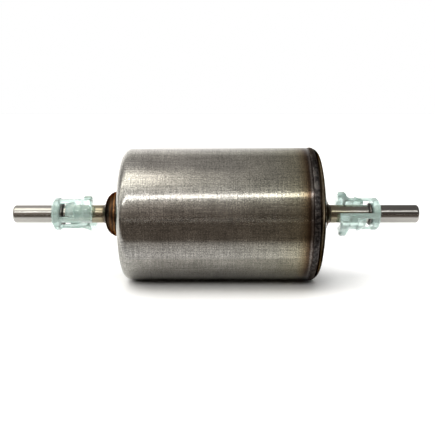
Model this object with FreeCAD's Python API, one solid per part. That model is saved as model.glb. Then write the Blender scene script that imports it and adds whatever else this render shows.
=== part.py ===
"""In-line fuel filter: a welded steel can with a tube at each end and a quick-connect clip on each tube.

Lengths are in millimetres and angles in degrees. The part lies along X, through the origin, with
the inlet at -X and the outlet at +X. +Z is up.
"""
import FreeCAD, Part
import math
import os

Vector = FreeCAD.Vector
ORIGIN = Vector(0, 0, 0)
ALONG_X = Vector(1, 0, 0)
ALONG_Y = Vector(0, 1, 0)
ALONG_Z = Vector(0, 0, 1)

# Tubes: one profile, used at both ends. Distances along a tube are taken outward from the origin.
TUBE_R = 3.97
TUBE_BORE_R = 3.27
TUBE_TIP = 87.4
TIP_ROUND = 1.3
TIP_EDGE_R = 3.4
BEAD_START = 65.6
BEAD_END = 67.2
BEAD_R = 4.85
RELIEF_START = 69.2
RELIEF_END = 70.4
RELIEF_R = 3.77
INLET_TUBE_START = 36.5
OUTLET_TUBE_START = 38.6
BRAZE_GAP = 0.05
TUBE_HOLE_R = TUBE_R + BRAZE_GAP

# Can and end cap
CAN_R = 28.575
WALL = 0.8
INLET_FACE_X = -39.7
CORNER_R = 4.3
SEAM_X = 39.9
SHOULDER_R = 3.65
DOME_EDGE_ANGLE = 14.9
SKIRT_GAP = 0.075
SKIRT_THICKNESS = 0.7
SKIRT_LENGTH = 3.6
WELD_HALF_WIDTH = 1.2
WELD_DEPTH = 0.6
WELD_CROWN = 0.15

CORNER_CENTRE = (INLET_FACE_X + CORNER_R, CAN_R - CORNER_R)
SHOULDER_CENTRE = (SEAM_X, CAN_R - SHOULDER_R)
WELD_EDGE_ANGLE = math.degrees(math.acos(WELD_HALF_WIDTH / SHOULDER_R))

# Collars and braze rings where the tubes enter
INLET_COLLAR_R = 9.9
INLET_COLLAR_DOME_R = 5.6
INLET_COLLAR_DOME_X = -41.9
INLET_COLLAR_TOP_R = 5.3
OUTLET_COLLAR_R = 9.0
OUTLET_COLLAR_RIM_X = 46.75
OUTLET_COLLAR_TOP_X = 48.2
OUTLET_COLLAR_TOP_R = 5.3
INLET_BRAZE_LENGTH = 1.4
OUTLET_BRAZE_LENGTH = 1.3

# Filter element
ELEMENT_R = 25.2
DISC_THICKNESS = 0.7
LIP_THICKNESS = 0.6
LIP_LENGTH = 4.2
BLIND_DISC_X = -31.4
OPEN_DISC_X = 37.0
POTTING_THICKNESS = 1.6
EAR_R = 27.5
EAR_WIDTH = 5.0
EAR_COUNT = 4
NECK_R = 7.1
NECK_BORE_R = 6.4
NECK_LENGTH = 4.4
SEAL_LENGTH = 3.0
PLEAT_COUNT = 48
PLEAT_TIP_R = 24.2
PLEAT_ROOT_R = 11.2
PAPER = 0.5
FOLD_GAP = 0.15
CENTRE_TUBE_R = 10.4
CENTRE_TUBE_WALL = 0.5
HOLE_R = 1.3
HOLE_ROWS = 12
HOLES_ACROSS = 4
SPRING_R = 12.0
SPRING_WIRE_R = 0.7
SPRING_TURNS = 2.5
SPRING_END_GAP = 0.05

# Quick-connect clips: a ring, and two arms that bend inward at their roots. The clip is drawn at the
# outlet with one arm straight up, then turned into place.
RING_START = 67.2
RING_END = 70.2
RING_R = 7.1
RING_BORE_R = 4.1
RING_CHAMFER = 1.0
ARM_INNER_R = 5.5
ARM_OUTER_R = 6.9
ARM_HALF_WIDTH = 5.0
ROOT_SLIT = 0.25
HINGE_X = 67.1
HINGE_Z = 4.2
KNUCKLE_R = 0.5
KNUCKLE_GAP = 0.1
WINDOW_START = 64.2
WINDOW_HALF_WIDTH = 3.7
BARB_START = 60.4
BARB_TOP_R = 7.95
BARB_NOSE_R = 6.3
BARB_HALF_WIDTH = 3.3
TAB_START = 52.8
TAB_END = 57.6
TAB_R = 9.7
LIP_START = 63.0
LIP_R = 4.5
INLET_ARM_TURN = 62.0
OUTLET_ARM_TURN = 131.0


def polar(centre, radius, degrees):
    """The (x, r) point at an angle on a circle."""
    angle = math.radians(degrees)
    return (centre[0] + radius * math.cos(angle), centre[1] + radius * math.sin(angle))


def bend(centre, radius, first, last):
    """An arc step for outlines, about a centre, from one angle to another."""
    return (polar(centre, radius, (first + last) / 2), polar(centre, radius, last))


def turned(start, *steps):
    """A solid turned about X. Each step is an (x, r) corner, or an arc as (middle, end)."""
    edges = []
    here = Vector(start[0], start[1], 0)
    closed = steps[-1][-1] == start
    for step in steps if closed else steps + (start,):
        if isinstance(step[0], tuple):
            middle = Vector(step[0][0], step[0][1], 0)
            there = Vector(step[1][0], step[1][1], 0)
            edges.append(Part.Arc(here, middle, there).toShape())
        else:
            there = Vector(step[0], step[1], 0)
            edges.append(Part.LineSegment(here, there).toShape())
        here = there
    return Part.Face(Part.Wire(edges)).revolve(ORIGIN, ALONG_X, 360)


def block(x_range, half_width, z_range):
    """A box between two X planes and two Z planes, centred in Y."""
    corner = Vector(x_range[0], -half_width, z_range[0])
    return Part.makeBox(x_range[1] - x_range[0], 2 * half_width, z_range[1] - z_range[0], corner)


def at_inlet(shape):
    """The same shape at the other end of the part."""
    return shape.rotated(ORIGIN, ALONG_Z, 180)


def dome_curve(radius_offset, first_r, last_r):
    """The end cap's dome as an arc step between two radii, moved in or out by an offset."""
    edge = polar(SHOULDER_CENTRE, SHOULDER_R, DOME_EDGE_ANGLE)
    dome_r = edge[1] / math.sin(math.radians(DOME_EDGE_ANGLE))
    centre = (edge[0] - edge[1] / math.tan(math.radians(DOME_EDGE_ANGLE)), 0)
    radius = dome_r + radius_offset
    angles = [math.degrees(math.asin(r / radius)) for r in (first_r, last_r)]
    return polar(centre, radius, angles[0]), bend(centre, radius, *angles)


def housing_can():
    """Drawn steel cup, closed at the inlet, with its rim bevelled for the weld."""
    return turned(
        (SEAM_X, CAN_R - WELD_DEPTH),
        (SEAM_X - WELD_HALF_WIDTH, CAN_R),
        (CORNER_CENTRE[0], CAN_R),
        bend(CORNER_CENTRE, CORNER_R, 90, 180),
        (INLET_FACE_X, TUBE_HOLE_R),
        (INLET_FACE_X + WALL, TUBE_HOLE_R),
        (INLET_FACE_X + WALL, CORNER_CENTRE[1]),
        bend(CORNER_CENTRE, CORNER_R - WALL, 180, 90),
        (SEAM_X, CAN_R - WALL),
    )


def outlet_end_cap():
    """Domed lid with a skirt that slides inside the can's rim."""
    inner_shoulder_r = SHOULDER_R - WALL
    skirt_r = CAN_R - WALL - SKIRT_GAP
    skirt_bore_r = skirt_r - SKIRT_THICKNESS
    skirt_angle = math.degrees(math.asin((skirt_bore_r - SHOULDER_CENTRE[1]) / inner_shoulder_r))
    outer_edge_r = polar(SHOULDER_CENTRE, SHOULDER_R, DOME_EDGE_ANGLE)[1]
    inner_edge_r = polar(SHOULDER_CENTRE, inner_shoulder_r, DOME_EDGE_ANGLE)[1]
    outer_dome = dome_curve(0, outer_edge_r, TUBE_HOLE_R)[1]
    inner_start, inner_dome = dome_curve(-WALL, TUBE_HOLE_R, inner_edge_r)
    return turned(
        (SEAM_X, CAN_R - WELD_DEPTH),
        polar(SHOULDER_CENTRE, SHOULDER_R, WELD_EDGE_ANGLE),
        bend(SHOULDER_CENTRE, SHOULDER_R, WELD_EDGE_ANGLE, DOME_EDGE_ANGLE),
        outer_dome,
        inner_start,
        inner_dome,
        bend(SHOULDER_CENTRE, inner_shoulder_r, DOME_EDGE_ANGLE, skirt_angle),
        (SEAM_X - SKIRT_LENGTH, skirt_bore_r),
        (SEAM_X - SKIRT_LENGTH, skirt_r),
        (SEAM_X, skirt_r),
    )


def rim_weld_bead():
    """Weld that fills the groove between the can's rim and the end cap."""
    return turned(
        (SEAM_X - WELD_HALF_WIDTH, CAN_R),
        (SEAM_X, CAN_R - WELD_DEPTH),
        polar(SHOULDER_CENTRE, SHOULDER_R, WELD_EDGE_ANGLE),
        ((SEAM_X, CAN_R + WELD_CROWN), (SEAM_X - WELD_HALF_WIDTH, CAN_R)),
    )


def inlet_collar_top():
    """The X plane of the inlet collar's flat top, and the dome's angle there."""
    rise = INLET_COLLAR_TOP_R - (INLET_COLLAR_R - INLET_COLLAR_DOME_R)
    angle = 180 - math.degrees(math.asin(rise / INLET_COLLAR_DOME_R))
    return INLET_COLLAR_DOME_X + INLET_COLLAR_DOME_R * math.cos(math.radians(angle)), angle


def inlet_collar():
    """Domed boss on the can's closed end, round the inlet tube."""
    top_x, top_angle = inlet_collar_top()
    centre = (INLET_COLLAR_DOME_X, INLET_COLLAR_R - INLET_COLLAR_DOME_R)
    return turned(
        (INLET_FACE_X, TUBE_HOLE_R),
        (INLET_FACE_X, INLET_COLLAR_R),
        (INLET_COLLAR_DOME_X, INLET_COLLAR_R),
        bend(centre, INLET_COLLAR_DOME_R, 90, top_angle),
        (top_x, TUBE_HOLE_R),
    )


def outlet_collar():
    """Low cone on the end cap's dome, round the outlet tube."""
    base_start, base = dome_curve(0, TUBE_HOLE_R, OUTLET_COLLAR_R)
    return turned(
        base_start,
        base,
        (OUTLET_COLLAR_RIM_X, OUTLET_COLLAR_R),
        (OUTLET_COLLAR_TOP_X, OUTLET_COLLAR_TOP_R),
        (OUTLET_COLLAR_TOP_X, TUBE_HOLE_R),
    )


def braze_ring(face_x, foot_r, length):
    """Concave fillet of braze metal between a collar's top face and the tube."""
    middle = (face_x + 0.3 * length, TUBE_R + 0.3 * (foot_r - TUBE_R))
    return turned(
        (face_x, TUBE_R),
        (face_x, foot_r),
        (middle, (face_x + length, TUBE_R)),
    )


def beaded_tube(start):
    """Steel tube with a stop bead, a shallow relief under the clip ring and a rounded tip."""
    bead_middle = (BEAD_START + BEAD_END) / 2
    tip_middle = (TUBE_TIP - 0.35 * TIP_ROUND, TUBE_R - 0.25 * (TUBE_R - TIP_EDGE_R))
    return turned(
        (start, TUBE_BORE_R),
        (start, TUBE_R),
        (BEAD_START, TUBE_R),
        ((bead_middle, BEAD_R), (BEAD_END, TUBE_R)),
        (RELIEF_START, TUBE_R),
        (RELIEF_START, RELIEF_R),
        (RELIEF_END, RELIEF_R),
        (RELIEF_END, TUBE_R),
        (TUBE_TIP - TIP_ROUND, TUBE_R),
        (tip_middle, (TUBE_TIP, TIP_EDGE_R)),
        (TUBE_TIP, TUBE_BORE_R),
    )


def hinge_knuckles(radius, side_gap, height):
    """Two short cylinders on one arm's hinge line, one for each rail."""
    length = ARM_HALF_WIDTH - WINDOW_HALF_WIDTH + 2 * side_gap
    starts = (-ARM_HALF_WIDTH - side_gap, WINDOW_HALF_WIDTH - side_gap)
    return [Part.makeCylinder(radius, length, Vector(HINGE_X, y, height), ALONG_Y) for y in starts]


def clip_ring():
    """Plastic ring on the tip side of the tube's bead, with sockets for both arms' knuckles."""
    ring = turned(
        (RING_START, RING_BORE_R),
        (RING_START, RING_R),
        (RING_END - RING_CHAMFER, RING_R),
        (RING_END, RING_R - RING_CHAMFER),
        (RING_END, RING_BORE_R),
    )
    for height in (HINGE_Z, -HINGE_Z):
        for socket in hinge_knuckles(KNUCKLE_R + KNUCKLE_GAP, KNUCKLE_GAP, height):
            ring = ring.cut(socket)
    return ring


def clip_arm():
    """Curved arm with a finger tab, a barb between two slits, and a lip that holds the bead."""
    arm_end = RING_START - ROOT_SLIT
    shell = turned(
        (TAB_START, ARM_INNER_R),
        (TAB_START + 0.2, 0.5 * (ARM_INNER_R + TAB_R)),
        (TAB_START + 0.9, TAB_R),
        (TAB_END - 1.5, TAB_R),
        (TAB_END - 0.8, ARM_OUTER_R + 0.7),
        (TAB_END, ARM_OUTER_R),
        (arm_end, ARM_OUTER_R),
        (arm_end, ARM_INNER_R),
    )
    barb = turned(
        (BARB_START, ARM_INNER_R),
        (BARB_START, BARB_TOP_R),
        (WINDOW_START, BARB_NOSE_R),
        (WINDOW_START, LIP_R),
        (LIP_START, LIP_R),
        (LIP_START, ARM_INNER_R),
    )
    arm = shell.common(block((TAB_START, arm_end), ARM_HALF_WIDTH, (0, TAB_R)))
    arm = arm.cut(block((BARB_START, arm_end), WINDOW_HALF_WIDTH, (0, TAB_R)))
    barb = barb.common(block((BARB_START, WINDOW_START), BARB_HALF_WIDTH, (0, TAB_R)))
    return arm.fuse([barb] + hinge_knuckles(KNUCKLE_R, 0, HINGE_Z)).removeSplitter()


def clip(place, turn, arm_names):
    """One clip's named pieces: the ring, and two opposite arms."""
    ring_name, first_arm_name, second_arm_name = arm_names
    return {
        ring_name: place(clip_ring()).rotated(ORIGIN, ALONG_X, turn),
        first_arm_name: place(clip_arm()).rotated(ORIGIN, ALONG_X, turn),
        second_arm_name: place(clip_arm()).rotated(ORIGIN, ALONG_X, turn + 180),
    }


def end_disc_rim(x, toward_media):
    """Flat disc plate with a lip that holds the potting."""
    plate_x = x + toward_media * DISC_THICKNESS
    lip_x = x + toward_media * LIP_LENGTH
    return turned(
        (x, NECK_BORE_R),
        (x, ELEMENT_R),
        (lip_x, ELEMENT_R),
        (lip_x, ELEMENT_R - LIP_THICKNESS),
        (plate_x, ELEMENT_R - LIP_THICKNESS),
        (plate_x, NECK_BORE_R),
    )


def blind_end_disc():
    """Closed disc at the inlet end of the element, with ears that centre it in the can."""
    disc = end_disc_rim(BLIND_DISC_X, 1)
    centre_plate = Part.makeCylinder(
        NECK_BORE_R + LIP_THICKNESS, DISC_THICKNESS, Vector(BLIND_DISC_X, 0, 0), ALONG_X
    )
    disc = disc.fuse(centre_plate)
    reach = Part.makeCylinder(EAR_R, LIP_LENGTH, Vector(BLIND_DISC_X, 0, 0), ALONG_X)
    for index in range(EAR_COUNT):
        ear = block(
            (BLIND_DISC_X, BLIND_DISC_X + LIP_LENGTH),
            EAR_WIDTH / 2,
            (ELEMENT_R - LIP_THICKNESS / 2, EAR_R + 1),
        )
        ear = ear.rotated(ORIGIN, ALONG_X, 360 * index / EAR_COUNT).common(reach)
        disc = disc.fuse(ear)
    return disc.removeSplitter()


def open_end_disc():
    """Disc at the outlet end of the element, with a neck round the outlet tube."""
    outer_x = OPEN_DISC_X + DISC_THICKNESS
    disc = end_disc_rim(outer_x, -1)
    neck = turned(
        (OPEN_DISC_X, NECK_BORE_R),
        (OPEN_DISC_X, NECK_R),
        (outer_x + NECK_LENGTH, NECK_R),
        (outer_x + NECK_LENGTH, NECK_BORE_R),
    )
    return disc.fuse(neck).removeSplitter()


def potting(start_x):
    """Ring of potting compound that bonds the pleats to an end disc."""
    return turned(
        (start_x, CENTRE_TUBE_R),
        (start_x, ELEMENT_R - LIP_THICKNESS),
        (start_x + POTTING_THICKNESS, ELEMENT_R - LIP_THICKNESS),
        (start_x + POTTING_THICKNESS, CENTRE_TUBE_R),
    )


def pleat_wire(tip_r, tip_half_width, root_r, root_half_width, x):
    """Closed zigzag outline in the plane at x, with flat folds at its tips and roots."""
    points = []
    pitch = 2 * math.pi / PLEAT_COUNT
    for index in range(PLEAT_COUNT):
        tip_angle = index * pitch
        root_angle = tip_angle + pitch / 2
        corners = (
            (tip_r, tip_angle - tip_half_width / tip_r),
            (tip_r, tip_angle + tip_half_width / tip_r),
            (root_r, root_angle - root_half_width / root_r),
            (root_r, root_angle + root_half_width / root_r),
        )
        points += [Vector(x, r * math.cos(angle), r * math.sin(angle)) for r, angle in corners]
    return Part.makePolygon(points + points[:1])


def pleated_media():
    """Folded paper with straight radial leaves, between the two potting rings."""
    start_x = BLIND_DISC_X + DISC_THICKNESS + POTTING_THICKNESS
    end_x = OPEN_DISC_X - POTTING_THICKNESS
    root_pitch = 2 * math.pi * PLEAT_ROOT_R / PLEAT_COUNT
    outer_root_pitch = root_pitch * (PLEAT_ROOT_R + PAPER) / PLEAT_ROOT_R
    outer = pleat_wire(
        PLEAT_TIP_R, FOLD_GAP + PAPER,
        PLEAT_ROOT_R + PAPER, outer_root_pitch / 2 - FOLD_GAP - PAPER, start_x,
    )
    inner = pleat_wire(
        PLEAT_TIP_R - PAPER, FOLD_GAP,
        PLEAT_ROOT_R, root_pitch / 2 - FOLD_GAP, start_x,
    )
    section = Part.makeFace([outer, inner], "Part::FaceMakerBullseye")
    return section.extrude(Vector(end_x - start_x, 0, 0))


def centre_tube():
    """Perforated tube that carries the pleats on the clean side."""
    start_x = BLIND_DISC_X + DISC_THICKNESS
    length = OPEN_DISC_X - start_x
    place = Vector(start_x, 0, 0)
    tube = Part.makeCylinder(CENTRE_TUBE_R, length, place, ALONG_X)
    tube = tube.cut(Part.makeCylinder(CENTRE_TUBE_R - CENTRE_TUBE_WALL, length, place, ALONG_X))
    drills = []
    for row in range(HOLE_ROWS):
        x = start_x + (row + 0.5) * length / HOLE_ROWS
        for column in range(HOLES_ACROSS):
            turn = 180 * (column + 0.5 * (row % 2)) / HOLES_ACROSS
            drill = Part.makeCylinder(HOLE_R, 3 * CENTRE_TUBE_R, Vector(x, 0, -1.5 * CENTRE_TUBE_R))
            drills.append(drill.rotated(ORIGIN, ALONG_X, turn))
    return tube.cut(Part.makeCompound(drills))


def outlet_seal_ring():
    """Rubber ring that seals the element's neck to the outlet tube."""
    start_x = OPEN_DISC_X + DISC_THICKNESS + NECK_LENGTH - SEAL_LENGTH
    return turned(
        (start_x, TUBE_R),
        (start_x, NECK_BORE_R),
        (start_x + SEAL_LENGTH, NECK_BORE_R),
        (start_x + SEAL_LENGTH, TUBE_R),
    )


def element_spring():
    """Coil spring that presses the element against its outlet seal."""
    start_x = INLET_FACE_X + WALL + SPRING_WIRE_R + SPRING_END_GAP
    height = BLIND_DISC_X - SPRING_WIRE_R - SPRING_END_GAP - start_x
    helix = Part.makeHelix(height / SPRING_TURNS, height, SPRING_R)
    section = Part.Wire(Part.makeCircle(SPRING_WIRE_R, Vector(SPRING_R, 0, 0), ALONG_Y))
    coil = Part.Wire(helix).makePipeShell([section], True, True)
    return coil.rotated(ORIGIN, ALONG_Y, 90).translated(Vector(start_x, 0, 0))


def build_nodes():
    """Every named piece of the filter."""
    inlet_top_x = inlet_collar_top()[0]
    nodes = {
        "housing_can": housing_can(),
        "outlet_end_cap": outlet_end_cap(),
        "rim_weld_bead": rim_weld_bead(),
        "inlet_collar": inlet_collar(),
        "outlet_collar": outlet_collar(),
        "inlet_braze_ring": at_inlet(braze_ring(-inlet_top_x, INLET_COLLAR_TOP_R, INLET_BRAZE_LENGTH)),
        "outlet_braze_ring": braze_ring(OUTLET_COLLAR_TOP_X, OUTLET_COLLAR_TOP_R, OUTLET_BRAZE_LENGTH),
        "inlet_tube": at_inlet(beaded_tube(INLET_TUBE_START)),
        "outlet_tube": beaded_tube(OUTLET_TUBE_START),
        "pleated_media": pleated_media(),
        "centre_tube": centre_tube(),
        "blind_end_disc": blind_end_disc(),
        "open_end_disc": open_end_disc(),
        "inlet_potting": potting(BLIND_DISC_X + DISC_THICKNESS),
        "outlet_potting": potting(OPEN_DISC_X - POTTING_THICKNESS),
        "outlet_seal_ring": outlet_seal_ring(),
        "element_spring": element_spring(),
    }
    nodes.update(clip(
        at_inlet, INLET_ARM_TURN,
        ("inlet_clip_ring", "inlet_clip_arm_front", "inlet_clip_arm_rear"),
    ))
    nodes.update(clip(
        lambda shape: shape, OUTLET_ARM_TURN,
        ("outlet_clip_ring", "outlet_clip_arm_lower", "outlet_clip_arm_upper"),
    ))
    return nodes


def main():
    os.makedirs("parts", exist_ok=True)
    for name, shape in build_nodes().items():
        print(name, shape.isValid(), len(shape.Solids), round(shape.Volume, 1))
        shape.exportStep(os.path.join("parts", name + ".step"))


main()
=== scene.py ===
"""Looks for the in-line fuel filter: bare steel with weld heat tint, and translucent clips."""
import itertools
import math

import bmesh
import bpy
from mathutils import Matrix, Vector, noise


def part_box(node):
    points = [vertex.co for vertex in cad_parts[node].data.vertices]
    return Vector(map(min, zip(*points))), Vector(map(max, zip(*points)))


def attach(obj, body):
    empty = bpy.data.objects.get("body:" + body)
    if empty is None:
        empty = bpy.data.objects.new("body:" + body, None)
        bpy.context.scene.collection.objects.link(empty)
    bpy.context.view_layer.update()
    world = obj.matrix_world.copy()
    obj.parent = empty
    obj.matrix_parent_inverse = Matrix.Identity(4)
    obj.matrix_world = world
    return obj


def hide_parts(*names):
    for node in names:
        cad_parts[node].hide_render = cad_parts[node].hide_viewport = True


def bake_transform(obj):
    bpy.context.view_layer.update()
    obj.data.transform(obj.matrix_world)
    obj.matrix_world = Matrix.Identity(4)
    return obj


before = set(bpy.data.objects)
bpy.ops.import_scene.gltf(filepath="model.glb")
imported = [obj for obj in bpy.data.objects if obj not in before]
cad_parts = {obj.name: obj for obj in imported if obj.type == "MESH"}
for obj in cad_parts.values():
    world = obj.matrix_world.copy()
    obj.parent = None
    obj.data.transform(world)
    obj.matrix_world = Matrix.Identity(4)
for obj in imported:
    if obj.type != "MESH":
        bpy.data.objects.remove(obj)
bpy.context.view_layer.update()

MM = 0.001


# ---------------------------------------------------------------- shader helpers

def add_node(tree, kind, inputs=None, **settings):
    """Adds a shader node. An input is a value, or the output socket that feeds it."""
    made = tree.nodes.new("ShaderNode" + kind)
    for key, value in settings.items():
        setattr(made, key, value)
    for key, value in (inputs or {}).items():
        if isinstance(value, bpy.types.NodeSocket):
            tree.links.new(value, made.inputs[key])
        else:
            made.inputs[key].default_value = value
    return made


def add_ramp(tree, factor, stops):
    """A colour ramp whose stops are (place, colour), with places between 0 and 1."""
    made = add_node(tree, "ValToRGB", {"Fac": factor})
    elements = made.color_ramp.elements
    while len(elements) < len(stops):
        elements.new(0.5)
    for element, (place, colour) in zip(elements, stops):
        element.position = place
        element.color = (*colour, 1.0)
    return made.outputs["Color"]


class Shader:
    """A node material with one Principled BSDF, built by short calls."""

    def __init__(self, name, **values):
        self.material = bpy.data.materials.new(name)
        self.material.use_nodes = True
        self.tree = self.material.node_tree
        self.bsdf = self.tree.nodes["Principled BSDF"]
        for socket, value in values.items():
            self.bsdf.inputs[socket.replace("_", " ")].default_value = value

    def node(self, kind, inputs=None, **settings):
        return add_node(self.tree, kind, inputs, **settings)

    def place(self):
        """Position in the row frame, in millimetres."""
        coordinates = self.node("TexCoord").outputs["Object"]
        return self.node("VectorMath", {0: coordinates, "Scale": 1 / MM}, operation="SCALE").outputs[0]

    def noise(self, vector, scale, detail=4.0, roughness=0.55):
        """Noise with features about 1/scale millimetres wide."""
        made = self.node("TexNoise", {"Vector": vector, "Scale": scale, "Detail": detail,
                                      "Roughness": roughness})
        return made.outputs["Fac"]

    def math(self, operation, first, second=0.0):
        return self.node("Math", {0: first, 1: second}, operation=operation).outputs[0]

    def spread(self, value, low, high, to_low=0.0, to_high=1.0):
        """The value moved from one range to another, and clamped there."""
        made = self.node("MapRange", {0: value, 1: low, 2: high, 3: to_low, 4: to_high})
        return made.outputs[0]

    def ramp(self, value, stops, low=0.0, high=1.0):
        """A colour ramp whose stops are (place, colour), with places between low and high."""
        shares = [((place - low) / (high - low), colour) for place, colour in stops]
        return add_ramp(self.tree, self.spread(value, low, high), shares)

    def mix(self, factor, first, second, blend="MIX"):
        made = self.node("Mix", {0: factor, 6: first, 7: second}, data_type="RGBA", blend_type=blend)
        return made.outputs[2]

    def feed(self, **links):
        """Feeds the BSDF's sockets."""
        for socket, output in links.items():
            self.tree.links.new(output, self.bsdf.inputs[socket.replace("_", " ")])

    def bump(self, height, strength, distance):
        made = self.node("Bump", {"Height": height, "Strength": strength, "Distance": distance * MM})
        self.feed(Normal=made.outputs[0])


def axes(shader, vector):
    """The X, Y and Z outputs of a vector."""
    return shader.node("SeparateXYZ", {0: vector}).outputs


def squeezed(shader, vector, x, y, z):
    """The position scaled along each axis, to stretch a texture."""
    return shader.node("VectorMath", {0: vector, 1: (x, y, z)}, operation="MULTIPLY").outputs[0]


# ---------------------------------------------------------------- metals

STEEL_ROUGHNESS = 0.14


def bare_steel(name, tint_stops, low, high, wobble, edge, painted_shade_share=1.0):
    """Satin bare steel whose heat tint follows X, with ragged borders, brushing and mottling.

    The edge colour tints what it reflects at glancing angles, and the band just below
    the middle of the height can be painted darker: painted shade, standing in for the dark surroundings it
    reflects there.
    """
    steel = Shader(name, Metallic=1.0, Roughness=STEEL_ROUGHNESS, Anisotropic=0.3,
                   Specular_Tint=(*edge, 1.0))
    place = steel.place()
    along, _, height = axes(steel, place)
    ragged = steel.spread(steel.noise(place, 0.45, 3.0), 0.2, 0.8, -wobble, wobble)
    tint = steel.ramp(steel.math("ADD", along, ragged), tint_stops, low, high)
    hoop_lines = steel.noise(squeezed(steel, place, 5.0, 0.10, 0.10), 1.0, 4.0)
    draw_lines = steel.noise(squeezed(steel, place, 0.07, 1.8, 1.8), 1.0, 4.0)
    grain = steel.noise(place, 2.3, 4.0, 0.8)
    cloud = steel.noise(place, 0.10, 3.0)
    shade = steel.math("ADD", steel.spread(grain, 0.34, 0.66, 0.36, 1.60),
                       steel.spread(hoop_lines, 0.3, 0.7, -0.24, 0.24))
    shade = steel.math("ADD", shade, steel.spread(draw_lines, 0.3, 0.7, -0.20, 0.20))
    shade = steel.math("MULTIPLY", shade, steel.spread(cloud, 0.3, 0.7, 0.88, 1.10))
    # Painted shade: the band just below the middle of the height is darkened, then lighter again further
    # down.
    painted_shade_band = steel.math("MAXIMUM", steel.spread(height, 0.0, 9.0, painted_shade_share, 1.0),
                       steel.spread(height, -20.0, -12.0, 0.7, 0.0))
    shade = steel.math("MULTIPLY", shade, painted_shade_band)
    grey = steel.node("CombineColor", {0: shade, 1: shade, 2: shade}).outputs[0]
    steel.feed(Base_Color=steel.mix(1.0, tint, grey, "MULTIPLY"))
    rough = steel.math("ADD", steel.spread(grain, 0.3, 0.7, -0.04, 0.06),
                       steel.spread(cloud, 0.3, 0.7, STEEL_ROUGHNESS - 0.02, STEEL_ROUGHNESS + 0.03))
    steel.feed(Roughness=rough)
    relief = steel.math("ADD", grain, steel.math("MULTIPLY", hoop_lines, 0.5))
    steel.bump(relief, 0.3, 0.025)
    steel.feed(Tangent=steel.node("Tangent", direction_type="RADIAL", axis="X").outputs[0])
    return steel.material


def can_steel():
    """Bare steel that turns straw and then brown towards the weld."""
    stops = (
        (-40.0, (0.341, 0.335, 0.312)),
        (-25.0, (0.287, 0.274, 0.252)),
        (5.0, (0.277, 0.266, 0.240)),
        (24.0, (0.287, 0.276, 0.232)),
        (32.3, (0.288, 0.269, 0.200)),
        (35.0, (0.205, 0.165, 0.105)),
        (36.5, (0.090, 0.058, 0.034)),
        (37.35, (0.060, 0.040, 0.029)),
        (37.75, (0.170, 0.150, 0.135)),
        (38.10, (0.150, 0.130, 0.115)),
        (38.35, (0.035, 0.026, 0.022)),
    )
    return bare_steel("can_steel", stops, -40.0, 40.0, 0.22, (0.88, 0.87, 0.86))


def cap_steel():
    """Dark heat-tinted steel with a tan ring beside the weld, and painted shade on the band just below the
    middle of its height.
    """
    stops = (
        (40.5, (0.022, 0.018, 0.015)),
        (41.3, (0.030, 0.020, 0.012)),
        (41.5, (0.110, 0.070, 0.038)),
        (41.65, (0.050, 0.032, 0.018)),
        (41.95, (0.420, 0.350, 0.250)),
        (42.55, (0.380, 0.315, 0.225)),
        (42.95, (0.060, 0.042, 0.026)),
        (44.6, (0.070, 0.053, 0.036)),
        (47.0, (0.110, 0.090, 0.068)),
    )
    # The last value is the painted shade on the band just below the middle of the cap's height.
    return bare_steel("cap_steel", stops, 40.0, 47.0, 0.12, (0.11, 0.09, 0.065), 0.14)


def weld_metal():
    """Dark scale with lighter patches."""
    weld = Shader("weld_metal", Metallic=1.0, Roughness=0.35, Specular_Tint=(0.55, 0.50, 0.46, 1.0))
    place = weld.place()
    patches = weld.noise(place, 0.7, 4.0)
    colour = weld.ramp(patches, (
        (0.30, (0.018, 0.015, 0.013)),
        (0.46, (0.034, 0.031, 0.031)),
        (0.60, (0.100, 0.092, 0.086)),
        (0.75, (0.050, 0.036, 0.028)),
    ))
    weld.feed(Base_Color=colour, Roughness=weld.spread(patches, 0.3, 0.7, 0.26, 0.44))
    weld.bump(weld.noise(place, 3.0, 4.0), 0.4, 0.05)
    return weld.material


def tinted_collar(name, stops, low, high):
    """Dark heat-tinted steel whose colours follow X."""
    collar = Shader(name, Metallic=1.0, Roughness=0.3, Specular_Tint=(0.3, 0.25, 0.2, 1.0))
    place = collar.place()
    ragged = collar.spread(collar.noise(place, 0.5, 3.0), 0.2, 0.8, -0.3, 0.3)
    tint = collar.ramp(collar.math("ADD", axes(collar, place)[0], ragged), stops, low, high)
    scale = collar.noise(place, 2.2, 5.0, 0.65)
    worn = collar.spread(scale, 0.35, 0.75, 0.0, 0.5)
    collar.feed(Base_Color=collar.mix(worn, tint, (0.02, 0.014, 0.011, 1)))
    collar.feed(Roughness=collar.spread(scale, 0.3, 0.7, 0.22, 0.42))
    collar.bump(scale, 0.35, 0.04)
    return collar.material


def inlet_collar_steel():
    return tinted_collar("inlet_collar_steel", (
        (-47.9, (0.058, 0.062, 0.062)),
        (-46.4, (0.050, 0.044, 0.040)),
        (-45.2, (0.050, 0.036, 0.026)),
        (-44.6, (0.120, 0.062, 0.028)),
        (-44.1, (0.055, 0.032, 0.019)),
        (-43.5, (0.045, 0.028, 0.018)),
        (-43.1, (0.230, 0.110, 0.042)),
        (-42.6, (0.030, 0.020, 0.014)),
        (-39.0, (0.035, 0.026, 0.020)),
    ), -49.0, -39.0)


def outlet_collar_steel():
    return tinted_collar("outlet_collar_steel", (
        (46.0, (0.060, 0.045, 0.032)),
        (47.4, (0.080, 0.062, 0.044)),
        (48.0, (0.200, 0.170, 0.120)),
        (49.5, (0.240, 0.210, 0.150)),
    ), 46.0, 50.0)


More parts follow.
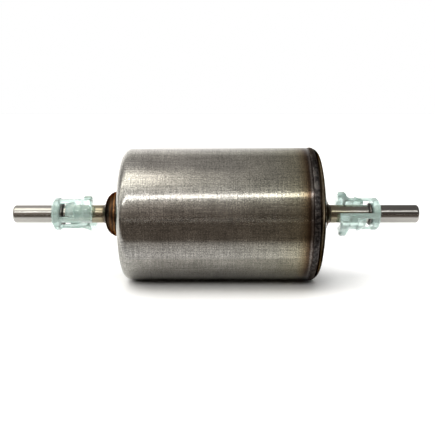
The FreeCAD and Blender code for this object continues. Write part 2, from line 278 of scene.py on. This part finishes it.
def tube_steel():
    """Polished tube, straw coloured where it was heated near the can; the bead under each clip has painted
    shade, with a painted highlight line along its middle.
    """
    tube = Shader("tube_steel", Metallic=1.0, Roughness=0.12, Anisotropic=0.3)
    place = tube.place()
    reach = tube.math("ABSOLUTE", axes(tube, place)[0])
    tint = tube.ramp(reach, (
        (36.0, (0.14, 0.11, 0.07)),
        (48.5, (0.16, 0.13, 0.08)),
        (49.6, (0.25, 0.22, 0.15)),
        (54.0, (0.27, 0.255, 0.19)),
        (62.0, (0.31, 0.30, 0.27)),
        # Painted shade on the bead under the clip, with a painted highlight line along its middle.
        (65.35, (0.31, 0.30, 0.27)),
        (65.6, (0.06, 0.055, 0.05)),
        (66.2, (0.07, 0.065, 0.06)),
        (66.4, (0.30, 0.29, 0.27)),
        (66.6, (0.07, 0.065, 0.06)),
        (67.2, (0.06, 0.055, 0.05)),
        (67.45, (0.31, 0.30, 0.28)),
        (88.0, (0.33, 0.32, 0.30)),
    ), 36.0, 88.0)
    scuffs = tube.noise(squeezed(tube, place, 0.5, 3.0, 3.0), 1.2, 5.0)
    tube.feed(Base_Color=tube.mix(tube.spread(scuffs, 0.45, 0.8, 0.0, 0.30), tint, (0.16, 0.155, 0.145, 1)))
    tube.feed(Roughness=tube.spread(scuffs, 0.3, 0.75, 0.08, 0.20))
    tube.bump(scuffs, 0.15, 0.02)
    tube.feed(Tangent=tube.node("Tangent", direction_type="RADIAL", axis="X").outputs[0])
    return tube.material


def braze_metal():
    braze = Shader("braze_metal", Metallic=1.0, Roughness=0.35)
    grains = braze.noise(braze.place(), 2.5, 4.0)
    braze.feed(Base_Color=braze.ramp(grains, ((0.3, (0.05, 0.04, 0.03)), (0.7, (0.17, 0.14, 0.10)))))
    braze.bump(grains, 0.4, 0.05)
    return braze.material


# ---------------------------------------------------------------- plastics, paper and rubber

def clip_plastic():
    """Pale green translucent moulding."""
    plastic = Shader("clip_plastic", Roughness=0.10, IOR=1.42, Transmission_Weight=0.74)
    place = plastic.place()
    flow = plastic.noise(place, 0.35, 3.0)
    plastic.feed(Base_Color=plastic.ramp(flow, ((0.35, (0.58, 0.75, 0.70)), (0.65, (0.75, 0.87, 0.83)))))
    plastic.feed(Roughness=plastic.spread(plastic.noise(place, 2.0, 4.0), 0.3, 0.7, 0.04, 0.14))
    plastic.bump(plastic.noise(place, 0.9, 3.0), 0.25, 0.05)
    return plastic.material


def dull(name, dark, light, roughness, scale, metallic=0.0):
    """A plain finish with two-tone grain, for the pieces inside."""
    made = Shader(name, Metallic=metallic, Roughness=roughness)
    grain = made.noise(made.place(), scale, 5.0)
    made.feed(Base_Color=made.ramp(grain, ((0.3, dark), (0.7, light))))
    made.feed(Roughness=made.spread(grain, 0.3, 0.7, roughness - 0.06, roughness + 0.06))
    made.bump(grain, 0.3, 0.05)
    return made.material


# ---------------------------------------------------------------- mesh helpers

BEVEL_FROM_DEGREES = 35
SHARP_FROM_DEGREES = 40


def finished(name, mesh_builder, material, bevel=0.0):
    """An object from a bmesh in millimetres, with small rounded edges, smooth where it curves."""
    for vertex in mesh_builder.verts:
        vertex.co *= MM
    bmesh.ops.recalc_face_normals(mesh_builder, faces=mesh_builder.faces)
    mesh = bpy.data.meshes.new(name)
    mesh_builder.to_mesh(mesh)
    mesh_builder.free()
    piece = bpy.data.objects.new(name, mesh)
    bpy.context.collection.objects.link(piece)
    if bevel:
        rounding = piece.modifiers.new("rounding", "BEVEL")
        rounding.width = bevel * MM
        rounding.segments = 2
        rounding.angle_limit = math.radians(BEVEL_FROM_DEGREES)
        rounding.use_clamp_overlap = True
        graph = bpy.context.evaluated_depsgraph_get()
        piece.data = bpy.data.meshes.new_from_object(piece.evaluated_get(graph))
        piece.data.name = name
        piece.modifiers.clear()
    piece.data.materials.append(material)
    for face in piece.data.polygons:
        face.use_smooth = True
    piece.data.set_sharp_from_angle(angle=math.radians(SHARP_FROM_DEGREES))
    return piece


def turned(section_at, steps):
    """A bmesh turned about X. section_at gives the closed list of (x, r) points at an angle."""
    made = bmesh.new()
    rings = []
    for index in range(steps):
        angle = 2 * math.pi * index / steps
        rings.append([made.verts.new((x, r * math.sin(angle), r * math.cos(angle)))
                      for x, r in section_at(angle)])
    for index, ring in enumerate(rings):
        following = rings[(index + 1) % len(rings)]
        for side in range(len(ring)):
            after = (side + 1) % len(ring)
            made.faces.new((ring[side], ring[after], following[after], following[side]))
    return made


# ---------------------------------------------------------------- weld bead

SEAM_X = 39.9
CAN_R = 28.575
SHOULDER_R = 3.65
WELD_HALF_WIDTH = 1.2
WELD_STEPS = 1080
WELD_RIPPLES = 190
WELD_ACROSS = 10
WELD_WANDER = 0.14
WELD_CROWN = 0.10
WELD_RIPPLE = 0.10
WELD_LUMP = 0.03
WELD_EDGE_SINK = 0.08
WELD_ROOT_R = CAN_R - 0.75
WELD_ROOT_HALF_WIDTH = 0.4


def seam_radius(x):
    """The steel's outer radius near the seam, before welding."""
    if x <= SEAM_X:
        return CAN_R
    return CAN_R - SHOULDER_R + math.sqrt(SHOULDER_R ** 2 - (x - SEAM_X) ** 2)


def weld_ring(angle):
    """One cross-section of the bead, as (x, r) points, with crescent ripples and a wandering edge."""
    around = Vector((math.cos(angle), math.sin(angle), 0.0))
    left = -WELD_HALF_WIDTH + WELD_WANDER * noise.noise(around * 9.0)
    right = WELD_HALF_WIDTH + WELD_WANDER * noise.noise(around * 9.0 + Vector((0, 0, 7.0)))
    points = []
    for step in range(WELD_ACROSS + 1):
        across = 2 * step / WELD_ACROSS - 1
        x = SEAM_X + left + (right - left) * (across + 1) / 2
        wander = 0.25 * noise.noise(around * 14.0 + Vector((0, 0, 3.0)))
        phase = (angle / (2 * math.pi) * WELD_RIPPLES + 0.45 * across ** 2 + wander) % 1.0
        rise = (WELD_CROWN + WELD_RIPPLE * (phase - 0.5)) * (1 - across ** 2)
        lump = WELD_LUMP * noise.noise(around * 40.0 + Vector((0, 0, across))) * (1 - abs(across))
        sunk = 0.0 if abs(across) < 1 else WELD_EDGE_SINK
        points.append((x, seam_radius(x) + rise + lump - sunk))
    points.append((SEAM_X + WELD_ROOT_HALF_WIDTH, WELD_ROOT_R))
    points.append((SEAM_X - WELD_ROOT_HALF_WIDTH, WELD_ROOT_R))
    return points


def weld_bead(material):
    """The rippled bead between the can and its end cap."""
    piece = finished("weld_bead", turned(weld_ring, WELD_STEPS), material)
    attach(piece, "root")
    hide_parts("rim_weld_bead")


# ---------------------------------------------------------------- quick-connect clips

TAB_START = 52.8
TAB_TOP_END = 56.6
TAB_END = 57.8
TAB_TOP_ENDS_R = {TAB_START: 8.9, TAB_TOP_END: 8.6}
BARB_START = 60.4
BARB_END = 64.2
BARB_TIP_R = 6.3
BARB_TOOTH_START = 63.0
BARB_HALF_ANGLE = 27.4
WINDOW_HALF_ANGLE = 32.4
# An arm is a block of cells between stations along X, columns by angle (degrees) and layers outward.
ARM_STATIONS = (TAB_START, 53.4, 55.7, TAB_TOP_END, TAB_END, BARB_START, 61.7, BARB_TOOTH_START, BARB_END,
                65.2, 67.22)
ARM_COLUMNS = (-52, -42, -WINDOW_HALF_ANGLE, -BARB_HALF_ANGLE, -18, -9, 0, 9, 18, BARB_HALF_ANGLE,
               WINDOW_HALF_ANGLE, 42, 52)
ARM_LAYERS = (4.5, 5.5, 6.9, 7.95, 9.7)
ARM_OUTER_R = ARM_LAYERS[2]
ARM_EDGE_ROUNDING = 0.16
RING_PROFILE = (
    (67.2, 4.1), (67.2, 6.75), (67.45, 7.1), (69.2, 7.1), (70.2, 6.1), (70.2, 4.45), (69.85, 4.1))
RING_STEPS = 96
RING_EDGE_ROUNDING = 0.12


def arm_has(x, degrees, layer):
    """Whether the arm has material in the cell with this middle, in this layer."""
    in_barb = BARB_START < x < BARB_END and abs(degrees) < BARB_HALF_ANGLE
    if layer == 0:
        return in_barb and x > BARB_TOOTH_START
    if layer == 1:
        return in_barb or x < BARB_START or abs(degrees) > WINDOW_HALF_ANGLE
    if layer == 2:
        return x < TAB_END or in_barb
    return x < TAB_TOP_END


def arm_radius(x, layer):
    """The radius of a layer's boundary at a station: the tab's top is rounded and the barb slopes."""
    top = ARM_LAYERS[layer]
    if layer == 4:
        return TAB_TOP_ENDS_R.get(x, top)
    if layer == 3 and x == TAB_END:
        return ARM_OUTER_R
    if layer >= 2 and BARB_START < x <= BARB_END:
        share = (x - BARB_START) / (BARB_END - BARB_START)
        barb_top = ARM_LAYERS[3] + (BARB_TIP_R - ARM_LAYERS[3]) * share
        return barb_top if layer == 3 else min(ARM_OUTER_R, barb_top)
    return top


def arm_mesh():
    """The arm of the outlet clip, straight up."""
    made = bmesh.new()
    corners = {}
    counts = [len(ARM_STATIONS) - 1, len(ARM_COLUMNS) - 1, len(ARM_LAYERS) - 1]

    def corner(i, j, k):
        if (i, j, k) not in corners:
            x, degrees, r = ARM_STATIONS[i], ARM_COLUMNS[j], arm_radius(ARM_STATIONS[i], k)
            if BARB_START < x <= BARB_END and abs(degrees) > BARB_HALF_ANGLE:
                r = ARM_LAYERS[k]
            y = min(r, ARM_OUTER_R) * math.sin(math.radians(degrees))
            corners[(i, j, k)] = made.verts.new((x, y, math.sqrt(r * r - y * y)))
        return corners[(i, j, k)]

    def has(i, j, k):
        if not all(0 <= index < count for index, count in zip((i, j, k), counts)):
            return False
        return arm_has((ARM_STATIONS[i] + ARM_STATIONS[i + 1]) / 2,
                       (ARM_COLUMNS[j] + ARM_COLUMNS[j + 1]) / 2, k)

    # Each side of a cell: the way to its neighbour, and the side's four corners.
    sides = (
        ((-1, 0, 0), ((0, 0, 0), (0, 0, 1), (0, 1, 1), (0, 1, 0))),
        ((1, 0, 0), ((1, 0, 0), (1, 1, 0), (1, 1, 1), (1, 0, 1))),
        ((0, -1, 0), ((0, 0, 0), (1, 0, 0), (1, 0, 1), (0, 0, 1))),
        ((0, 1, 0), ((0, 1, 0), (0, 1, 1), (1, 1, 1), (1, 1, 0))),
        ((0, 0, -1), ((0, 0, 0), (0, 1, 0), (1, 1, 0), (1, 0, 0))),
        ((0, 0, 1), ((0, 0, 1), (1, 0, 1), (1, 1, 1), (0, 1, 1))),
    )
    for i, j, k in itertools.product(*(range(count) for count in counts)):
        if not has(i, j, k):
            continue
        for (di, dj, dk), offsets in sides:
            if not has(i + di, j + dj, k + dk):
                made.faces.new([corner(i + a, j + b, k + c) for a, b, c in offsets])
    bmesh.ops.remove_doubles(made, verts=made.verts, dist=0.001)
    return made


def turn_to(made, degrees, at_inlet):
    """Turns a shape drawn at the outlet with its arm straight up to its place."""
    if at_inlet:
        bmesh.ops.rotate(made, verts=made.verts, matrix=Matrix.Rotation(math.pi, 3, "Z"))
    bmesh.ops.rotate(made, verts=made.verts, matrix=Matrix.Rotation(math.radians(degrees), 3, "X"))
    return made


def clip(end, sign, turns, material):
    """A ring, and two arms that stay joined to it where they bend."""
    ring_shape = turn_to(turned(lambda angle: RING_PROFILE, RING_STEPS), 0, sign < 0)
    ring = finished(end + "_ring", ring_shape, material, RING_EDGE_ROUNDING)
    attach(ring, end + "_clip")
    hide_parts(end + "_clip_ring")
    for arm_name, degrees in turns:
        arm_shape = turn_to(arm_mesh(), degrees, sign < 0)
        arm = finished(end + "_arm_" + arm_name, arm_shape, material, ARM_EDGE_ROUNDING)
        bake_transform(arm)
        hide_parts(end + "_clip_arm_" + arm_name)


# ---------------------------------------------------------------- stage

# Light by direction in the YZ plane: 0 is the front, 90 is up, 180 is the back.
WORLD_STOPS = (
    (-180, (1.6, 1.6, 1.6)),
    (-90, (1.0, 1.0, 1.0)),
    (-4, (0.19, 0.160, 0.135)),
    (6, (0.23, 0.195, 0.17)),
    (20, (0.44, 0.395, 0.36)),
    (29, (0.72, 0.68, 0.63)),
    (35, (0.90, 0.88, 0.84)),
    (53, (0.90, 0.89, 0.86)),
    (60, (0.68, 0.67, 0.64)),
    (70, (0.60, 0.58, 0.57)),
    (128, (0.56, 0.54, 0.52)),
    (134, (0.92, 0.91, 0.88)),
    (141, (1.08, 1.07, 1.05)),
    (180, (1.8, 1.8, 1.8)),
)
# How much of it falls on matt things. The low front light is for reflections only, so that the contact
# shadow stays dark.
FALL_STOPS = ((-180, 1.0), (-100, 1.0), (-60, 0.06), (26, 0.06), (46, 1.0), (180, 1.0))
# How that light changes from the left (-1) to the right (1).
SIDE_STOPS = (
    (-1.0, 1.0),
    (-0.30, 1.6),
    (-0.13, 1.35),
    (-0.02, 1.15),
    (0.085, 0.85),
    (0.13, 0.65),
    (0.30, 0.36),
    (1.0, 0.30),
)
# A warm glow above and to the left: how it changes around, and from the left to the right.
GLOW = (1.76, 1.72, 1.56)
GLOW_STOPS = ((48, 0.0), (60, 0.55), (67, 1.0), (75, 1.0), (84, 0.45), (96, 0.0))
GLOW_SIDE_STOPS = (
    (-1.0, 0.75), (-0.3, 1.75), (-0.125, 1.75), (-0.105, 1.3125), (-0.08, 0.625), (-0.02, 0.275), (0.05, 0.0))
# A colour ramp holds values up to 1, so each ramp is scaled down. Two are multiplied, and the world's
# strength makes up for both.
RAMP_SHARE = 0.5
FRONT_CARD_EDGE = -30.0
FRONT_CARD_STRENGTH = 1.36
STRIP_ELEVATION = 38.8
STRIP_TILT = 14.0
STRIP_DISTANCE = 0.9
STRIP_SIZE = (1.6, 0.055)
STRIP_POWER = 2.25
SUN_FROM = (-0.12, 0.24, 0.96)
SUN_STRENGTH = 2.6
SUN_WIDTH = 80.0
FLOOR_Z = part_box("housing_can")[0].z
CAMERA_ELEVATION = 10.0
CAMERA_DISTANCE = 0.280
CAMERA_ALONG = 0.0006
CAMERA_DROP = 0.0016
LENS = 53.3


def world_light():
    """Studio surround: dark towards the front, bright at the back, and brighter on the left."""
    world = bpy.data.worlds.new("studio")
    bpy.context.scene.world = world
    world.use_nodes = True
    tree = world.node_tree
    background = tree.nodes["Background"]

    def node(kind, inputs=None, **settings):
        return add_node(tree, kind, inputs, **settings)

    def mix(factor, first, second, blend="MIX"):
        made = node("Mix", {0: factor, 6: first, 7: second}, data_type="RGBA", blend_type=blend)
        return made.outputs[2]

    ray = node("SeparateXYZ", {0: node("TexCoord").outputs["Generated"]}).outputs
    forward = node("Math", {0: ray[1], 1: -1.0}, operation="MULTIPLY").outputs[0]
    angle = node("Math", {0: ray[2], 1: forward}, operation="ARCTAN2").outputs[0]
    turn = node("MapRange", {0: angle, 1: -math.pi, 2: math.pi}).outputs[0]
    sideways = node("MapRange", {0: ray[0], 1: -1.0, 2: 1.0}).outputs[0]

    def around(stops):
        """A ramp by direction whose stops are (degrees, colour)."""
        return add_ramp(tree, turn, [((degrees + 180) / 360, colour) for degrees, colour in stops])

    def across(stops):
        """A ramp from left to right whose stops are (place, share)."""
        return add_ramp(tree, sideways, [((place + 1) / 2, (share,) * 3) for place, share in stops])

    def pair(around_stops, side_stops):
        """Light that changes around and from left to right, at a quarter of its strength."""
        low_around = [(degrees, [part * RAMP_SHARE for part in colour]) for degrees, colour in around_stops]
        low_side = [(place, share * RAMP_SHARE) for place, share in side_stops]
        return mix(1.0, around(low_around), across(low_side), "MULTIPLY")

    glow_stops = [(degrees, [part * share for part in GLOW]) for degrees, share in GLOW_STOPS]
    lit = mix(1.0, pair(WORLD_STOPS, SIDE_STOPS), pair(glow_stops, GLOW_SIDE_STOPS), "ADD")
    rays = node("LightPath").outputs
    falls = around([(degrees, (share,) * 3) for degrees, share in FALL_STOPS])
    kept = mix(rays["Is Glossy Ray"], falls, (1, 1, 1, 1))
    white = RAMP_SHARE ** 2
    shown = mix(rays["Is Camera Ray"], mix(1.0, lit, kept, "MULTIPLY"), (white, white, white, 1))
    tree.links.new(shown, background.inputs["Color"])
    background.inputs["Strength"].default_value = 1 / white


def camera():
    """The view from the front and a little above."""
    data = bpy.data.cameras.new("camera")
    data.lens = LENS
    data.sensor_width = 36.0
    data.clip_start = 0.01
    data.clip_end = 20.0
    eye = bpy.data.objects.new("camera", data)
    bpy.context.collection.objects.link(eye)
    elevation = math.radians(CAMERA_ELEVATION)
    towards = Vector((0, -math.cos(elevation), math.sin(elevation)))
    up = Vector((0, math.sin(elevation), math.cos(elevation)))
    eye.location = Vector((CAMERA_ALONG, 0, 0)) + towards * CAMERA_DISTANCE - up * CAMERA_DROP
    eye.rotation_euler = (math.radians(90) - elevation, 0, 0)
    bpy.context.scene.camera = eye


def sheet_at(name, x_range, y_range, height, material):
    """A flat rectangle of the stage."""
    mesh = bpy.data.meshes.new(name)
    corners = [(x, y, height) for x, y in ((x_range[0], y_range[0]), (x_range[1], y_range[0]),
                                           (x_range[1], y_range[1]), (x_range[0], y_range[1]))]
    mesh.from_pydata(corners, [], [(0, 1, 2, 3)])
    mesh.materials.append(material)
    sheet = bpy.data.objects.new(name, mesh)
    bpy.context.collection.objects.link(sheet)
    return sheet


def floor():
    """White paper that the can lies on."""
    paper = Shader("floor_paper", Roughness=0.8, Specular_IOR_Level=0.2)
    grain = paper.noise(paper.place(), 0.5, 3.0)
    paper.feed(Base_Color=paper.ramp(grain, ((0.3, (0.92, 0.92, 0.92)), (0.7, (0.94, 0.94, 0.94)))))
    sheet_at("floor", (-4.0, 4.0), (-4.0, 4.0), FLOOR_Z, paper.material)


def front_card():
    """A card on the floor in front that glows, which only reflections see: a painted reflection, bright near
    the can and dim further out.
    """
    card = Shader("front_card", Roughness=1.0, Base_Color=(0.0, 0.0, 0.0, 1.0), Specular_IOR_Level=0.0)
    # Glowing ramp: bright like the floor near the can, dim further out like a dark room in front.
    card.feed(Emission_Color=card.ramp(axes(card, card.place())[1], (
        (-56.6, (0.150, 0.125, 0.105)),
        (-53.4, (0.44, 0.42, 0.40)),
        (-47.0, (0.60, 0.58, 0.565)),
        (-40.0, (0.74, 0.73, 0.72)),
        (FRONT_CARD_EDGE, (0.96, 0.95, 0.95)),
    ), -70.0, FRONT_CARD_EDGE))
    card.bsdf.inputs["Emission Strength"].default_value = FRONT_CARD_STRENGTH
    sheet = sheet_at("front_card", (-1.5, 1.5), (-1.5, FRONT_CARD_EDGE * MM), FLOOR_Z + 0.0002, card.material)
    sheet.visible_camera = False
    sheet.visible_diffuse = False
    sheet.visible_shadow = False
    sheet.visible_transmission = False


def lamp(name, kind, at, energy):
    """A light aimed at the origin."""
    data = bpy.data.lights.new(name, kind)
    data.energy = energy
    made = bpy.data.objects.new(name, data)
    bpy.context.collection.objects.link(made)
    made.location = at
    made.rotation_euler = (-Vector(at)).to_track_quat("-Z", "Y").to_euler()
    made.visible_camera = False
    return made


def lights():
    """A strip in front that draws the bright line on the can, and a wide soft sun above."""
    angle = math.radians(STRIP_ELEVATION)
    strip_at = Vector((0, -math.cos(angle), math.sin(angle))) * STRIP_DISTANCE
    strip = lamp("strip", "AREA", strip_at, STRIP_POWER)
    strip.data.shape = "RECTANGLE"
    strip.data.size, strip.data.size_y = STRIP_SIZE
    strip.rotation_euler.rotate_axis("Z", math.radians(STRIP_TILT))
    sun = lamp("sun", "SUN", SUN_FROM, SUN_STRENGTH)
    sun.data.angle = math.radians(SUN_WIDTH)
    sun.visible_glossy = False


# ---------------------------------------------------------------- dressing the CAD nodes

def give(material, *names):
    """Puts a material on CAD nodes."""
    for name in names:
        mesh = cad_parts[name].data
        mesh.materials.clear()
        mesh.materials.append(material)


def dress():
    """The materials of the CAD nodes that stay, and the detailed pieces that replace the others."""
    give(can_steel(), "housing_can")
    give(cap_steel(), "outlet_end_cap")
    give(inlet_collar_steel(), "inlet_collar")
    give(outlet_collar_steel(), "outlet_collar")
    give(tube_steel(), "inlet_tube", "outlet_tube")
    give(braze_metal(), "inlet_braze_ring", "outlet_braze_ring")
    give(dull("filter_paper", (0.70, 0.60, 0.36), (0.85, 0.76, 0.52), 0.8, 1.5), "pleated_media")
    give(dull("element_metal", (0.50, 0.50, 0.48), (0.62, 0.62, 0.60), 0.35, 1.0, 1.0),
         "centre_tube", "blind_end_disc", "open_end_disc")
    give(dull("potting_compound", (0.55, 0.40, 0.14), (0.70, 0.54, 0.24), 0.5, 0.6),
         "inlet_potting", "outlet_potting")
    give(dull("seal_rubber", (0.02, 0.02, 0.02), (0.05, 0.05, 0.05), 0.6, 2.0), "outlet_seal_ring")
    give(dull("spring_steel", (0.35, 0.35, 0.35), (0.50, 0.50, 0.49), 0.3, 2.0, 1.0), "element_spring")
    weld_bead(weld_metal())
    plastic = clip_plastic()
    clip("inlet", -1, (("front", 62.0), ("rear", 242.0)), plastic)
    clip("outlet", 1, (("lower", 131.0), ("upper", 311.0)), plastic)


camera()
world_light()
floor()
front_card()
lights()
dress()
bpy.context.scene.view_settings.view_transform = "Standard"
